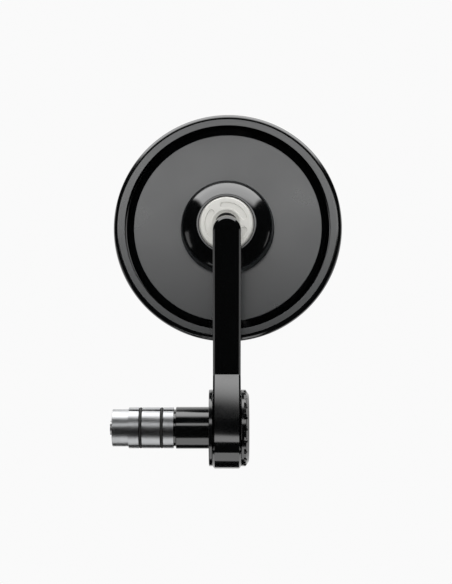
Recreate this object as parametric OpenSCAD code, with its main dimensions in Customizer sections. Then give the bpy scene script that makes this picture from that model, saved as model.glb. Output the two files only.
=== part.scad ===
// Round bar-end motorcycle mirror on a one-piece clamp arm, with a ball joint behind the glass.
// Frame: origin on the handlebar's axis at its end plane, X outward along the bar, Z up,
// and the mirror's back faces -Y. Millimetres and degrees.

/* [Mirror head] */
// Outside diameter of the mirror housing
head_d = 100; // [92:1:116]
// Width of the flat bezel ring, its rounded edge left out
bezel_w = 3.8; // [2.5:0.1:6]
// Radius of the rounding on the bezel's outer edge
bezel_round = 1.3; // [0.5:0.1:2]
// Width of the channel between the bezel and the back disc
channel_w = 3.7; // [2:0.1:6]
// Depth of the channel below the back disc
channel_depth = 0.6; // [0.2:0.1:1]
// Height of the bezel above the back disc
bezel_step = 3.2; // [1:0.1:5]
// Thickness of the housing between the back disc and the glass recess
plate_t = 3.4; // [2.6:0.1:6]
// Height of the straight part of the housing's side
side_straight = 1.5; // [0.5:0.1:4]
// Radius of the side's curve in towards the glass
side_round = 14; // [10:1:30]
// Width of the rim's flat front edge around the glass
lip_w = 0.4; // [0.2:0.1:2]

/* [Glass] */
// Thickness of the mirror glass
glass_t = 2; // [1.5:0.1:4]
// Thickness of the adhesive pad behind the glass
pad_t = 0.8; // [0.4:0.1:1.5]
// How far the pad's edge stays inside the glass's edge
pad_inset = 1.5; // [0.5:0.5:5]
// How far the rim stands in front of the glass
glass_sink = 0.4; // [0.2:0.1:1.5]
// Gap around the glass in its recess
glass_gap = 0.2; // [0.1:0.05:0.5]

/* [Boss and lock ring] */
// Diameter of the boss where it stands on the back disc
boss_d = 40.2; // [36:0.2:48]
// Width of the boss's rim around the lock ring's thread
boss_rim = 0.73; // [0.4:0.01:1.5]
// Thickness of the floor between the disc springs and the glass pad
floor_t = 1.1; // [0.6:0.1:3]
// Outside diameter of the lock ring
lock_d = 23.8; // [21:0.2:26]
// Gap between the lock ring and its thread bore
lock_gap = 0.15; // [0.05:0.05:0.3]
// Chamfer on the lock ring's outer edge
lock_chamfer = 0.8; // [0.4:0.1:1.2]
// Radius of the dish around the lock ring's hole
dish_r = 6.1; // [5.5:0.1:7]
// Gap between the lock ring's inner end and the pressure ring
lock_end_gap = 0.8; // [0.5:0.1:1.5]
// Land between the dish and the three kidney recesses
kidney_land = 0.65; // [0.3:0.05:1.2]
// Width of a kidney recess
kidney_w = 2.5; // [1.5:0.1:2.6]
// Angle that a kidney recess spans, its round ends left out
kidney_span = 77; // [40:1:85]
// Depth of a kidney recess
kidney_depth = 0.4; // [0.2:0.1:0.8]

/* [Ball joint] */
// Diameter of the ball
ball_d = 12; // [11:0.2:13]
// Diameter of the stud's neck behind the ball
neck_d = 3.6; // [3:0.1:4]
// Wall of the polymer seats
seat_t = 0.7; // [0.5:0.05:0.8]
// Running clearance on each face of a seat
seat_gap = 0.05; // [0.03:0.01:0.1]
// Radius of the opening in the front seat
seat_hole_r = 4.25; // [4.1:0.05:4.5]
// How far the ball stands out of the lock ring's face
ball_proud = 0.7; // [0.4:0.1:1.2]
// Diameter of the stud's collar on the arm
collar_d = 8; // [7:0.5:9]
// Thickness of the stud's collar
collar_t = 1.8; // [1:0.1:2.5]
// Diameter of the stud's thread
thread_d = 5; // [4:0.5:6]
// Metal left between the stud's hole and the arm's front face
arm_skin = 1.4; // [1:0.1:2]
// Wall of the pressure ring behind the ball
press_t = 1.5; // [1:0.1:2.5]
// Distance from the ball's centre back to the pressure ring's rim
press_back = 3.2; // [2.5:0.1:4]
// Thickness of each disc spring's sheet
spring_t = 0.6; // [0.4:0.05:0.8]
// Height of each disc spring
spring_h = 1.1; // [0.9:0.05:1.4]

/* [Arm] */
// Width of the arm and its clamp
arm_w = 11.9; // [10:0.1:16]
// Thickness of the arm
arm_t = 5.6; // [5:0.1:6.5]
// How much longer than the mirror's radius the arm's front face is, from the clamp to the stud
arm_extra = 12.1; // [11:0.1:40]
// Forward lean of the arm
arm_lean = 10; // [5:0.5:12]
// Room between the arm and the mirror's rim when the head is tilted down as far as it goes
rim_room = 1.5; // [0.5:0.1:5]
// Chamfer on the long edges of the arm and clamp
arm_chamfer = 0.8; // [0.3:0.1:1.2]
// Upward tilt of the mirror's back at rest
head_tilt = 5.4; // [0:0.2:7]
// How far the head tilts down from its rest
tilt_down = 2.6; // [0:0.1:5]
// Sideways turn of the mirror's back at rest
head_turn = 2.4; // [-8:0.2:8]

/* [Clamp] */
// Wall of the clamp around its bore
clamp_wall = 8.05; // [7.5:0.05:12]
// Diameter of the clamp's bore
clamp_bore_d = 18.5; // [17:0.1:20]
// Running clearance between the clamp and its seat, on the radius
clamp_gap = 0.05; // [0.02:0.01:0.1]
// Side clearance between the clamp and the flanges
side_gap = 0.1; // [0.05:0.05:0.3]
// Width of the clamp's slit
slit_w = 1.2; // [0.8:0.1:2]
// Angle of the slit's mouth in the bore, above the horizontal
slit_angle = 53; // [35:1:60]
// Diameter of the clamp screw
screw_d = 4; // [3:0.5:5]
// Diameter of the clamp screw's head
screw_head_d = 7; // [5.5:0.5:8.5]
// Wall between the clamp's bore and the pocket of the screw's head
screw_wall = 0.8; // [0.5:0.1:2]
// Height of the clamp screw's head seat above the bar's axis
screw_seat_z = -0.5; // [-2:0.5:1]

/* [Bar end] */
// Diameter of both flanges
flange_d = 32.6; // [30:0.2:38]
// Thickness of the inner flange
inner_flange_t = 1.55; // [1:0.05:4]
// Length of the end cap outside the clamp
cap_t = 3.35; // [3:0.05:5]
// Length of the cap's edge chamfer along the bar
cap_chamfer_len = 1.4; // [1:0.1:2]
// Height of the cap's edge chamfer
cap_chamfer_h = 2.1; // [1:0.1:3]
// Number of saw-tooth notches around the cap
notch_count = 20; // [12:1:24]
// Depth of a notch at its wall
notch_depth = 1; // [0.5:0.1:1.6]
// Distance from the cap's inner face to the notches
notch_start = 1.2; // [0.8:0.1:2]
// Slope of a notch's floor along the rim
notch_ramp = 17; // [10:1:30]
// Slope of a notch's floor towards the cap's end
notch_rise = 8; // [0:1:20]
// Diameter of the plug in the handlebar
plug_d = 17.8; // [15:0.1:20]
// Length of the plug's full-round part
plug_len = 14; // [10:1:30]
// Diameter of the cap's pilot inside the body
pilot_d = 14; // [13:0.1:15]
// Length of the cap's pilot
pilot_len = 5.7; // [5:0.1:7]
// Diameter of the centre bolt
bolt_d = 6; // [5:0.5:6]
// Thickness of the bolt washer
washer_t = 1; // [0.8:0.1:1.6]

/* [Expander] */
// Outside diameter of the jaws at rest
jaw_d = 17.4; // [14:0.1:19]
// Length of a jaw
jaw_len = 19; // [15:1:30]
// Inside diameter of a jaw
jaw_bore_d = 9; // [8:0.5:10]
// Angle that each of the three jaws spans
jaw_span = 112; // [90:1:116]
// Length of the wedge cones at both ends of the jaws
wedge_len = 4; // [3:0.5:6]
// Length of the expander cone's straight part
nut_len = 6; // [4:0.5:10]
// Thickness of the jaws' O-rings
ring_t = 1.4; // [1:0.1:2]

/* [Hidden] */
$fn = 96;
eps = 0.01;

// Clamp and flanges along the bar
clamp_x0 = inner_flange_t + side_gap;
clamp_x1 = clamp_x0 + arm_w;
clamp_xc = clamp_x0 + arm_w / 2;
cap_x0 = clamp_x1 + side_gap;
cap_x1 = cap_x0 + cap_t;
pilot_x0 = cap_x0 - pilot_len;
washer_x0 = pilot_x0 + 2;
head_x0 = washer_x0 + washer_t;
seat_r = clamp_bore_d / 2 - clamp_gap;
clamp_r = clamp_bore_d / 2 + clamp_wall;
slit_z = clamp_bore_d / 2 * sin(slit_angle);
pocket_r = screw_head_d / 2 + 0.15;
screw_y = clamp_bore_d / 2 + screw_wall + pocket_r;
screw_top_z = slit_z + 7.6;

// Front outline of the clamp as arcs of radius and turning angle, from its underside up to the arm
front_arcs = [[clamp_r, 54.5], [5.5, 39.7], [14, 10.7], [34.2, 17.1], [123, 10]];

// Outward normal at an angle measured from straight down towards the front, in the Y, Z plane
function outward(phi) = [-sin(phi), -cos(phi)];

// Turning angle before arc i
function turned(i) = i == 0 ? 0 : turned(i - 1) + front_arcs[i - 1][1];

// Point where arc i starts, each arc leaving the last one without a corner
function arc_start(i) = i == 0 ? [0, -clamp_r]
    : let (r = front_arcs[i - 1][0])
      arc_start(i - 1) + r * (outward(turned(i)) - outward(turned(i - 1)));

// Points along arc i, at most 2 degrees apart
function arc_points(i) = let (r = front_arcs[i][0], sweep = front_arcs[i][1], n = ceil(sweep / 2))
    [for (k = [0:n - 1]) arc_start(i) + r * (outward(turned(i) + sweep * k / n) - outward(turned(i)))];

// Points of an arc about a centre, for the turned profiles
function arc(c, r, a0, a1, n = 12) =
    [for (i = [0:n]) let (a = a0 + (a1 - a0) * i / n) [c[0] + r * cos(a), c[1] + r * sin(a)]];

// Line where the arm's front face rises from the clamp
root = arc_start(len(front_arcs));
arm_len = head_d / 2 + arm_extra;
back_root = root + arm_t * [cos(arm_lean), sin(arm_lean)];

// Heights in the head's own frame, measured from the ball's centre towards the mirror's back
ball_r = ball_d / 2;
face_h = ball_r - ball_proud;
seat_in_r = ball_r + seat_gap;
seat_out_r = seat_in_r + seat_t;
cup_r = seat_out_r + seat_gap;
press_z1 = -cup_r - press_t;
bore_z = press_z1 - 2 * spring_h;
recess_z = bore_z - floor_t;
disc_z = recess_z + plate_t;
bezel_z = disc_z + bezel_step;
glass_z = recess_z - pad_t;
lip_z = glass_z - glass_t - glass_sink;
side_z = bezel_z - bezel_round - side_straight;
side_sweep = asin((side_z - lip_z - 0.5) / side_round);
side_end_r = head_d / 2 - side_round * (1 - cos(side_sweep));
recess_r = side_end_r - 0.5 - lip_w;
glass_r = recess_r - glass_gap;
bore_r = lock_d / 2 + lock_gap;
channel_r1 = head_d / 2 - bezel_round - bezel_w;
channel_r0 = channel_r1 - channel_w;
press_r = bore_r - 0.6;
kidney_r = dish_r + kidney_land + kidney_w / 2;

// The boss's domed side is one arc, upright at its foot and ending at the rim around the lock ring
dome_z0 = disc_z + 0.7;
dome_z1 = face_h - 0.2;
dome_in = boss_d / 2 - bore_r - boss_rim;
dome_r = (dome_in * dome_in + (dome_z1 - dome_z0) * (dome_z1 - dome_z0)) / (2 * dome_in);
dome_c = boss_d / 2 - dome_r;
dome_top = atan2(dome_z1 - dome_z0, dome_r - dome_in);

// Reach of the stud that keeps the mirror's rim off the arm, and the ball's centre that follows
rim_swing = arm_lean + head_tilt + tilt_down;
back_reach = head_d / 2 * sin(rim_swing) + bezel_z * cos(rim_swing) + rim_room;
ball_reach = back_reach + arm_t;
ball_y = root[0] - arm_len * sin(arm_lean) + ball_reach * cos(arm_lean);
ball_z = root[1] + arm_len * cos(arm_lean) + ball_reach * sin(arm_lean);

// Jaw and cone positions along the bar
body_cone_x = -plug_len;
jaw_x1 = body_cone_x - 1;
jaw_x0 = jaw_x1 - jaw_len;
wedge_r0 = jaw_bore_d / 2;
wedge_r1 = jaw_d / 2 - 0.8;
nut_x0 = jaw_x0 - 1 - nut_len;
ring_seat = jaw_d / 2 - ring_t;
wedge_gap = 0.05;

// Stands a turned part's axis along the bar, its own Z towards +X
module along_bar() {
    rotate([90, 0, 90]) children();
}

// Frame of the arm: origin at the ball's centre, Y up the arm, Z out through the arm's front face
module in_arm() {
    translate([clamp_xc, ball_y, ball_z]) rotate([90 + arm_lean, 0, 0]) children();
}

// Frame of the mirror head: origin at the ball's centre, Z out through the lock ring
module in_head() {
    translate([clamp_xc, ball_y, ball_z]) rotate([90 - head_tilt, 0, -head_turn]) children();
}

module tube(r0, r1, z0, z1) {
    difference() {
        translate([0, 0, z0]) cylinder(r = r1, h = z1 - z0);
        translate([0, 0, z0 - 1]) cylinder(r = r0, h = z1 - z0 + 2);
    }
}

module torus(r, t) {
    rotate_extrude() translate([r, 0]) circle(d = t, $fn = 32);
}

module hex_socket(across, depth) {
    translate([0, 0, -depth]) cylinder(d = across / cos(30), h = depth + 1, $fn = 6);
}

module bar_end_body() color("#1b1c1e") along_bar() difference() {
    union() {
        rotate_extrude() polygon([[0, 0], [flange_d / 2 - 0.3, 0], [flange_d / 2, 0.3],
            [flange_d / 2, inner_flange_t - 0.3], [flange_d / 2 - 0.3, inner_flange_t], [0, inner_flange_t]]);
        translate([0, 0, inner_flange_t - eps]) cylinder(r = seat_r, h = cap_x0 - inner_flange_t + eps);
        translate([0, 0, -plug_len]) cylinder(d = plug_d, h = plug_len + eps);
        rotate_extrude() polygon([[0, body_cone_x + eps], [wedge_r1, body_cone_x + eps],
            [wedge_r1, jaw_x1], [wedge_r0, jaw_x1 - wedge_len], [0, jaw_x1 - wedge_len]]);
    }
    translate([0, 0, -100]) cylinder(d = bolt_d + 0.4, h = 200);
    translate([0, 0, pilot_x0 - 0.1]) cylinder(d = pilot_d + 0.1, h = 50);
}

// Saw-tooth notch in the cap's edge: its floor falls along the rim to an upright wall, and rises
// towards the cap's end, so that the notch is a triangle seen from outside
module notch() {
    translate([flange_d / 2 - notch_depth, 0, notch_start])
        rotate([0, notch_rise, 0]) rotate([0, 0, notch_ramp]) translate([0, -4, 0]) cube([6, 4, 3]);
}

module end_cap() color("#1b1c1e") along_bar() difference() {
    union() {
        rotate_extrude() polygon([[0, cap_x0], [flange_d / 2 - 0.2, cap_x0], [flange_d / 2, cap_x0 + 0.2],
            [flange_d / 2, cap_x1 - cap_chamfer_len], [flange_d / 2 - cap_chamfer_h, cap_x1], [0, cap_x1]]);
        translate([0, 0, pilot_x0]) cylinder(d = pilot_d, h = pilot_len + eps);
    }
    translate([0, 0, washer_x0]) cylinder(d = 10.4, h = 50);
    translate([0, 0, 0]) cylinder(d = bolt_d + 0.4, h = 50);
    translate([0, 0, pilot_x0 + 1]) tube(pilot_d / 2 - 0.9, pilot_d, 0, 1.2);
    for (i = [0:notch_count - 1]) rotate(i * 360 / notch_count - 0.7) translate([0, 0, cap_x0]) notch();
}

module cap_oring() color("#202020") along_bar()
    translate([0, 0, pilot_x0 + 1.6]) torus(pilot_d / 2 - 0.44, 0.88);

module centre_bolt() color("#8c8f93") along_bar() difference() {
    union() {
        translate([0, 0, nut_x0 - 1]) cylinder(d = bolt_d, h = head_x0 - nut_x0 + 1 + eps);
        translate([0, 0, head_x0]) cylinder(d = 10, h = cap_x1 - 0.6 - head_x0);
    }
    translate([0, 0, cap_x1 - 0.6]) hex_socket(5, 3);
}

module bolt_washer() color("#a8aaac") along_bar() tube(bolt_d / 2 + 0.1, 5.1, washer_x0, head_x0);

// One jaw, a turned tube sawn in three, with the two O-rings' grooves
module jaw(i) color("#9a9da0") along_bar() rotate(i * 120) rotate_extrude(angle = jaw_span) difference() {
    polygon([[wedge_r0 + wedge_gap, jaw_x0 + wedge_len], [wedge_r1 + wedge_gap, jaw_x0], [jaw_d / 2, jaw_x0],
        [jaw_d / 2, jaw_x1], [wedge_r1 + wedge_gap, jaw_x1], [wedge_r0 + wedge_gap, jaw_x1 - wedge_len]]);
    translate([ring_seat, jaw_x0 + 4.3]) square([5, ring_t]);
    translate([ring_seat, jaw_x1 - 4.3 - ring_t]) square([5, ring_t]);
}

module expander_jaw_1() jaw(0);
module expander_jaw_2() jaw(1);
module expander_jaw_3() jaw(2);

module jaw_oring_outer() color("#202020") along_bar()
    translate([0, 0, jaw_x1 - 4.3 - ring_t / 2]) torus(ring_seat + ring_t / 2, ring_t);

module jaw_oring_inner() color("#202020") along_bar()
    translate([0, 0, jaw_x0 + 4.3 + ring_t / 2]) torus(ring_seat + ring_t / 2, ring_t);

module expander_cone() color("#8c8f93") along_bar() difference() {
    rotate_extrude() polygon([[0, nut_x0], [wedge_r1, nut_x0], [wedge_r1, jaw_x0],
        [wedge_r0, jaw_x0 + wedge_len], [0, jaw_x0 + wedge_len]]);
    translate([0, 0, nut_x0 - 5]) cylinder(d = bolt_d + 0.1, h = 50);
}

// Side outline of the clamp in the Y, Z plane: round below, swept up to the arm in front,
// and leaning out behind to give the clamp screw its metal
module clamp_outline() {
    rear = clamp_r * [sin(80), -cos(80)];
    rise = screw_top_z - rear[1];
    polygon(concat([for (a = [-80:4:-4]) clamp_r * outward(a)],
        [for (i = [0:len(front_arcs) - 1]) each arc_points(i)],
        [root, back_root, rear + [rise * tan(10) - 2.6, rise + 2.4], rear + [rise * tan(10), rise]]));
}

// Extrusion across the bar with both long edges chamfered
module across_bar(w, c) {
    hull() {
        translate([c, 0, 0]) rotate([90, 0, 90]) linear_extrude(w - 2 * c) children();
        rotate([90, 0, 90]) linear_extrude(w) offset(delta = -c) children();
    }
}

module arm_bar() {
    h = arm_w / 2;
    c = arm_chamfer;
    section = [[h - c, 0], [h, c], [h, arm_t - c], [h - c, arm_t]];
    in_arm() translate([0, 0, back_reach]) {
        rotate_extrude() polygon(concat([[0, 0]], section, [[0, arm_t]]));
        rotate([90, 0, 0]) linear_extrude(arm_len + 7)
            polygon(concat(section, [for (p = [3:-1:0]) [-section[p][0], section[p][1]]]));
    }
}

module arm() color("#17181a") difference() {
    union() {
        translate([clamp_x0, 0, 0]) across_bar(arm_w, arm_chamfer) clamp_outline();
        arm_bar();
    }
    translate([-50, 0, 0]) rotate([0, 90, 0]) cylinder(d = clamp_bore_d, h = 100);
    translate([-50, 1, slit_z - slit_w / 2]) cube([100, 40, slit_w]);
    translate([clamp_xc, screw_y, -40]) cylinder(r = pocket_r, h = 40 + screw_seat_z);
    translate([clamp_xc, screw_y, -40]) cylinder(d = screw_d + 0.4, h = 40 + slit_z);
    translate([clamp_xc, screw_y, 0]) cylinder(d = screw_d + 0.1, h = screw_top_z + 0.5);
    in_arm() translate([0, 0, back_reach - 1]) cylinder(d = thread_d + 0.1, h = arm_t - arm_skin + 1);
}

module ball_stud() color("#d4d6d8") in_arm() union() {
    sphere(r = ball_r);
    rotate_extrude() polygon([[0, 0], [neck_d / 2, 0], [neck_d / 2, back_reach - collar_t - 2.2],
        [collar_d / 2, back_reach - collar_t], [collar_d / 2, back_reach], [thread_d / 2, back_reach],
        [thread_d / 2, ball_reach - arm_skin - 0.3], [0, ball_reach - arm_skin - 0.3]]);
}

module clamp_screw() color("#2a2b2d") translate([clamp_xc, screw_y, 0]) difference() {
    union() {
        translate([0, 0, screw_seat_z - eps]) cylinder(d = screw_d, h = screw_top_z - screw_seat_z);
        translate([0, 0, screw_seat_z - 4]) cylinder(d = screw_head_d, h = 4);
    }
    translate([0, 0, screw_seat_z - 4]) mirror([0, 0, 1]) hex_socket(3, 2.2);
}

// Part of a hollow ball between two heights
module ball_zone(r0, r1, z0, z1) {
    intersection() {
        difference() {
            sphere(r = r1);
            sphere(r = r0);
        }
        translate([0, 0, z0]) cylinder(r = r1 + 1, h = z1 - z0);
    }
}

module rear_seat() color("#26272a") in_head()
    difference() {
        ball_zone(seat_in_r, seat_out_r, -seat_out_r - 1, -1.1);
        translate([0, 0, -10]) cylinder(r = 2.4, h = 9);
    }

module front_seat() color("#26272a") in_head()
    difference() {
        ball_zone(seat_in_r, seat_out_r, 1.2, face_h - 0.55);
        cylinder(r = seat_hole_r, h = 10);
    }

module mirror_housing() color("#3a3b3d") in_head() difference() {
    rotate_extrude() polygon(concat(
        [[0, recess_z], [0, face_h - 0.2]],
        arc([dome_c, dome_z0], dome_r, dome_top, 0, 14),
        [[boss_d / 2, disc_z], [channel_r0, disc_z], [channel_r0, disc_z - channel_depth],
         [channel_r1, disc_z - channel_depth], [channel_r1, bezel_z]],
        arc([head_d / 2 - bezel_round, bezel_z - bezel_round], bezel_round, 90, 0, 8),
        arc([head_d / 2 - side_round, side_z], side_round, 0, -side_sweep, 8),
        [[side_end_r - 0.5, lip_z], [recess_r, lip_z], [recess_r, recess_z]]));
    translate([0, 0, bore_z]) cylinder(r = bore_r, h = 50);
}

module kidney() {
    translate([0, 0, face_h - kidney_depth]) {
        rotate_extrude(angle = kidney_span) translate([kidney_r - kidney_w / 2, 0]) square([kidney_w, 2]);
        for (a = [0, kidney_span]) rotate(a) translate([kidney_r, 0, 0]) cylinder(d = kidney_w, h = 2, $fn = 48);
    }
}

module lock_ring() color("#e2e0d8") in_head() difference() {
    rotate_extrude() polygon([[0, lock_end_gap - press_back], [lock_d / 2, lock_end_gap - press_back],
        [lock_d / 2, face_h - lock_chamfer], [lock_d / 2 - lock_chamfer, face_h], [0, face_h]]);
    sphere(r = cup_r);
    translate([0, 0, -20]) cylinder(r = cup_r + 0.1, h = 20.8);
    translate([0, 0, face_h - 0.5]) cylinder(r1 = dish_r - 1.3, r2 = dish_r, h = 0.5 + eps);
    translate([0, 0, face_h]) cylinder(r = dish_r, h = 5);
    for (i = [0:2]) rotate(23 + i * 120) kidney();
}

module pressure_ring() color("#a8aaac") in_head() difference() {
    translate([0, 0, press_z1]) cylinder(r = press_r, h = -press_back - press_z1);
    sphere(r = cup_r);
    translate([0, 0, -20]) cylinder(r = 3, h = 20);
}

// Disc spring as a cone of sheet between two heights, its inner edge up
module disc_spring(z0) {
    translate([0, 0, z0]) rotate_extrude() polygon([[5.6, spring_h - spring_t], [press_r - 0.2, 0],
        [press_r - 0.2, spring_t], [5.6, spring_h]]);
}

module disc_spring_1() color("#6f7377") in_head() disc_spring(press_z1 - spring_h);

module disc_spring_2() color("#6f7377") in_head()
    translate([0, 0, 2 * (press_z1 - spring_h)]) mirror([0, 0, 1]) disc_spring(press_z1 - spring_h);

module glass_pad() color("#d8d4c8") in_head() translate([0, 0, glass_z]) cylinder(r = glass_r - pad_inset, h = pad_t);

module mirror_glass() color("#c8d4dc") in_head()
    translate([0, 0, glass_z - glass_t]) cylinder(r = glass_r, h = glass_t, $fn = 180);

bar_end_body();
end_cap();
cap_oring();
centre_bolt();
bolt_washer();
expander_jaw_1();
expander_jaw_2();
expander_jaw_3();
jaw_oring_outer();
jaw_oring_inner();
expander_cone();
arm();
ball_stud();
clamp_screw();
rear_seat();
front_seat();
mirror_housing();
lock_ring();
pressure_ring();
disc_spring_1();
disc_spring_2();
glass_pad();
mirror_glass();
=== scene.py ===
"""Bar-end motorcycle mirror: a one-piece clamp arm carries a round turned housing on a ball joint."""

import bmesh
import bpy
import numpy as np
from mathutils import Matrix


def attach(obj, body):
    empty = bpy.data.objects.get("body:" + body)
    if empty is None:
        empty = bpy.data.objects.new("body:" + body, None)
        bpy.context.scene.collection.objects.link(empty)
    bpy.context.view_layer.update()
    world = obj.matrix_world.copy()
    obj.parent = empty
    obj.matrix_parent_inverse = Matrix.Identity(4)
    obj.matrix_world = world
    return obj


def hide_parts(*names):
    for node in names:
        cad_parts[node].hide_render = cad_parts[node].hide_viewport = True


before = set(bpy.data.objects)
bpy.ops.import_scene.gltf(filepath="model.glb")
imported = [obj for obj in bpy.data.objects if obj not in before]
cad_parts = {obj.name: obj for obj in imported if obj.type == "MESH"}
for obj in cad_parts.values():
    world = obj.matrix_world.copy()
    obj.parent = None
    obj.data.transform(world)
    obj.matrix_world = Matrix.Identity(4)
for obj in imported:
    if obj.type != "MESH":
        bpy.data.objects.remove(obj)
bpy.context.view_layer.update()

# Studio. A white world shows behind the mirror. A dark cloth tent, open behind, stands round it, with a
# low reflector, a panel and a softbox glowing in it for gloss to mirror, and a soft lamp overhead
# lights the matt colours. GLOWS holds rows of angle above the horizon and glow there, and WIDTHS rows
# of angle and half width, as seen from the tent's centre.
TENT_R, TENT_HOLE, TENT_DARK = 0.75, 42.0, 0.004
TENT_CENTRE = np.array([0.0076, 0, 0.06])
GLOW_FULL, GLOW_EDGE = 4.0, 0.03
GLOWS = [(-101, 0), (-99, 1.0), (-57, 1.2), (-54, 0), (12.5, 0), (14.5, 1.65), (25.5, 1.65), (27, 0),
         (59, 0), (60.5, 0.05), (62.5, 0.22), (64.2, 0.64), (65.6, 0.93), (67, 1.25), (69, 1.7),
         (73.2, 2.25), (78, 2.6), (90, 2.6), (103, 3.0), (122, 2.4), (130, 0.9), (138, 0.4)]
WIDTHS = [(-80, 0.30), (-50, 0.30), (0, 0.58), (40, 0.58), (55, 0.69), (80, 0.69)]
STRIP_X, STRIP_Y, STRIP_Z, STRIP_GLOW = (0.84, 0.90), (0.03, 0.09), (-0.19, 0.19), 0.5
SHEET_X, SHEET_Y, SHEET_Z, SHEET_GLOW = (0.32, 0.40), (0.28, 0.34), (0.30, 0.24), 0.95


def linear(code):
    """Turns an sRGB hex code into a linear colour with full alpha."""
    srgb = np.array([int(code[i:i + 2], 16) for i in (1, 3, 5)]) / 255
    return (*np.where(srgb <= 0.04045, srgb / 12.92, ((srgb + 0.055) / 1.055) ** 2.4), 1.0)


def add(tree, kind, settings=None, links=None):
    """Adds one node, sets its sockets and properties by name, and links other sockets into it."""
    node = tree.nodes.new("ShaderNode" + kind)
    for key, value in (settings or {}).items():
        if isinstance(key, int) or key in node.inputs:
            node.inputs[key].default_value = value
        else:
            setattr(node, key, value)
    for key, source in (links or {}).items():
        tree.links.new(source, node.inputs[key])
    return node


def new_look(name):
    """Starts a material: gives it, its node tree, its shader and the object's own coordinates."""
    look = bpy.data.materials.new(name)
    look.use_nodes = True
    tree = look.node_tree
    return look, tree, tree.nodes["Principled BSDF"], add(tree, "TexCoord").outputs["Object"]


def grid_mesh(name, points, wrap_u=False, wrap_v=False):
    """Makes a mesh from an array of points [u, v, xyz], a quad between neighbours, and round the
    seam where a direction wraps. Points that fall together, as at a pole, become one."""
    nu, nv = points.shape[:2]
    u = np.arange(nu if wrap_u else nu - 1)
    v = np.arange(nv if wrap_v else nv - 1)
    a, b = np.meshgrid(u, v, indexing="ij")
    a2, b2 = (a + 1) % nu, (b + 1) % nv
    quads = np.stack([a * nv + b, a2 * nv + b, a2 * nv + b2, a * nv + b2], -1).reshape(-1, 4)
    mesh = bpy.data.meshes.new(name)
    mesh.from_pydata(points.reshape(-1, 3).tolist(), [], quads.tolist())
    tidy = bmesh.new()
    tidy.from_mesh(mesh)
    bmesh.ops.remove_doubles(tidy, verts=tidy.verts, dist=1e-7)
    bmesh.ops.dissolve_degenerate(tidy, edges=tidy.edges, dist=1e-8)
    bmesh.ops.recalc_face_normals(tidy, faces=tidy.faces)
    tidy.to_mesh(mesh)
    tidy.free()
    piece = bpy.data.objects.new(name, mesh)
    bpy.context.scene.collection.objects.link(piece)
    return piece


# The tent is a ball with a hole behind: angle from the hole's axis by angle round it.
away = np.radians(np.linspace(TENT_HOLE, 180, 40))[:, None]
about = np.radians(np.linspace(0, 360, 96, endpoint=False))[None, :]
cloth_points = np.stack([np.sin(away) * np.cos(about), np.cos(away) + 0 * about,
                         np.sin(away) * np.sin(about)], -1)
tent = grid_mesh("tent", TENT_CENTRE + TENT_R * cloth_points, wrap_v=True)
tent_look, tree, skin, place = new_look("black_tent_cloth")
tree.nodes.remove(skin)
local = add(tree, "VectorMath", {"operation": "SUBTRACT", 1: tuple(TENT_CENTRE)}, {0: place})
parts = add(tree, "SeparateXYZ", links={0: local.outputs[0]})
front = add(tree, "Math", {"operation": "MULTIPLY", 1: -1.0}, {0: parts.outputs["Y"]})
angle = add(tree, "Math", {"operation": "ARCTAN2"}, {0: parts.outputs["Z"], 1: front.outputs[0]})
turn = add(tree, "MapRange", {"From Min": -np.pi, "From Max": np.pi}, {"Value": angle.outputs[0]})
glow = add(tree, "ValToRGB", {}, {0: turn.outputs[0]})
width = add(tree, "ValToRGB", {}, {0: turn.outputs[0]})
for ramp, stops, scale in ((glow.color_ramp, GLOWS, GLOW_FULL), (width.color_ramp, WIDTHS, 1.0)):
    while len(ramp.elements) < len(stops):
        ramp.elements.new(0.5)
    for element, (degrees, level) in zip(ramp.elements, stops):
        element.position = (degrees + 180) / 360
        element.color = (level / scale, level / scale, level / scale, 1)
sideways = add(tree, "Math", {"operation": "ABSOLUTE"}, {0: parts.outputs["X"]})
sideways = add(tree, "Math", {"operation": "DIVIDE", 1: TENT_R}, {0: sideways.outputs[0]})
inside = add(tree, "Math", {"operation": "SUBTRACT"}, {0: width.outputs[0], 1: sideways.outputs[0]})
inside = add(tree, "MapRange", {"From Min": -GLOW_EDGE, "From Max": GLOW_EDGE},
             {"Value": inside.outputs[0]})
level = add(tree, "Math", {"operation": "MULTIPLY"}, {0: glow.outputs[0], 1: inside.outputs[0]})
level = add(tree, "Math", {"operation": "MULTIPLY_ADD", 1: GLOW_FULL, 2: TENT_DARK}, {0: level.outputs[0]})
# Two low grey strips stand upright beside the mirror: the arm's chamfers mirror them. Their places
# are shares of the tent's radius: X from dark to full, Y and Z by middle and reach.
strips = add(tree, "MapRange", {"From Min": STRIP_X[0], "From Max": STRIP_X[1]},
             {"Value": sideways.outputs[0]})
for axis, (middle, reach) in (("Y", STRIP_Y), ("Z", STRIP_Z)):
    near = add(tree, "Math", {"operation": "COMPARE", 1: middle * TENT_R, 2: reach * TENT_R},
               {0: parts.outputs[axis]})
    strips = add(tree, "Math", {"operation": "MULTIPLY"}, {0: strips.outputs[0], 1: near.outputs[0]})
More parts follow.
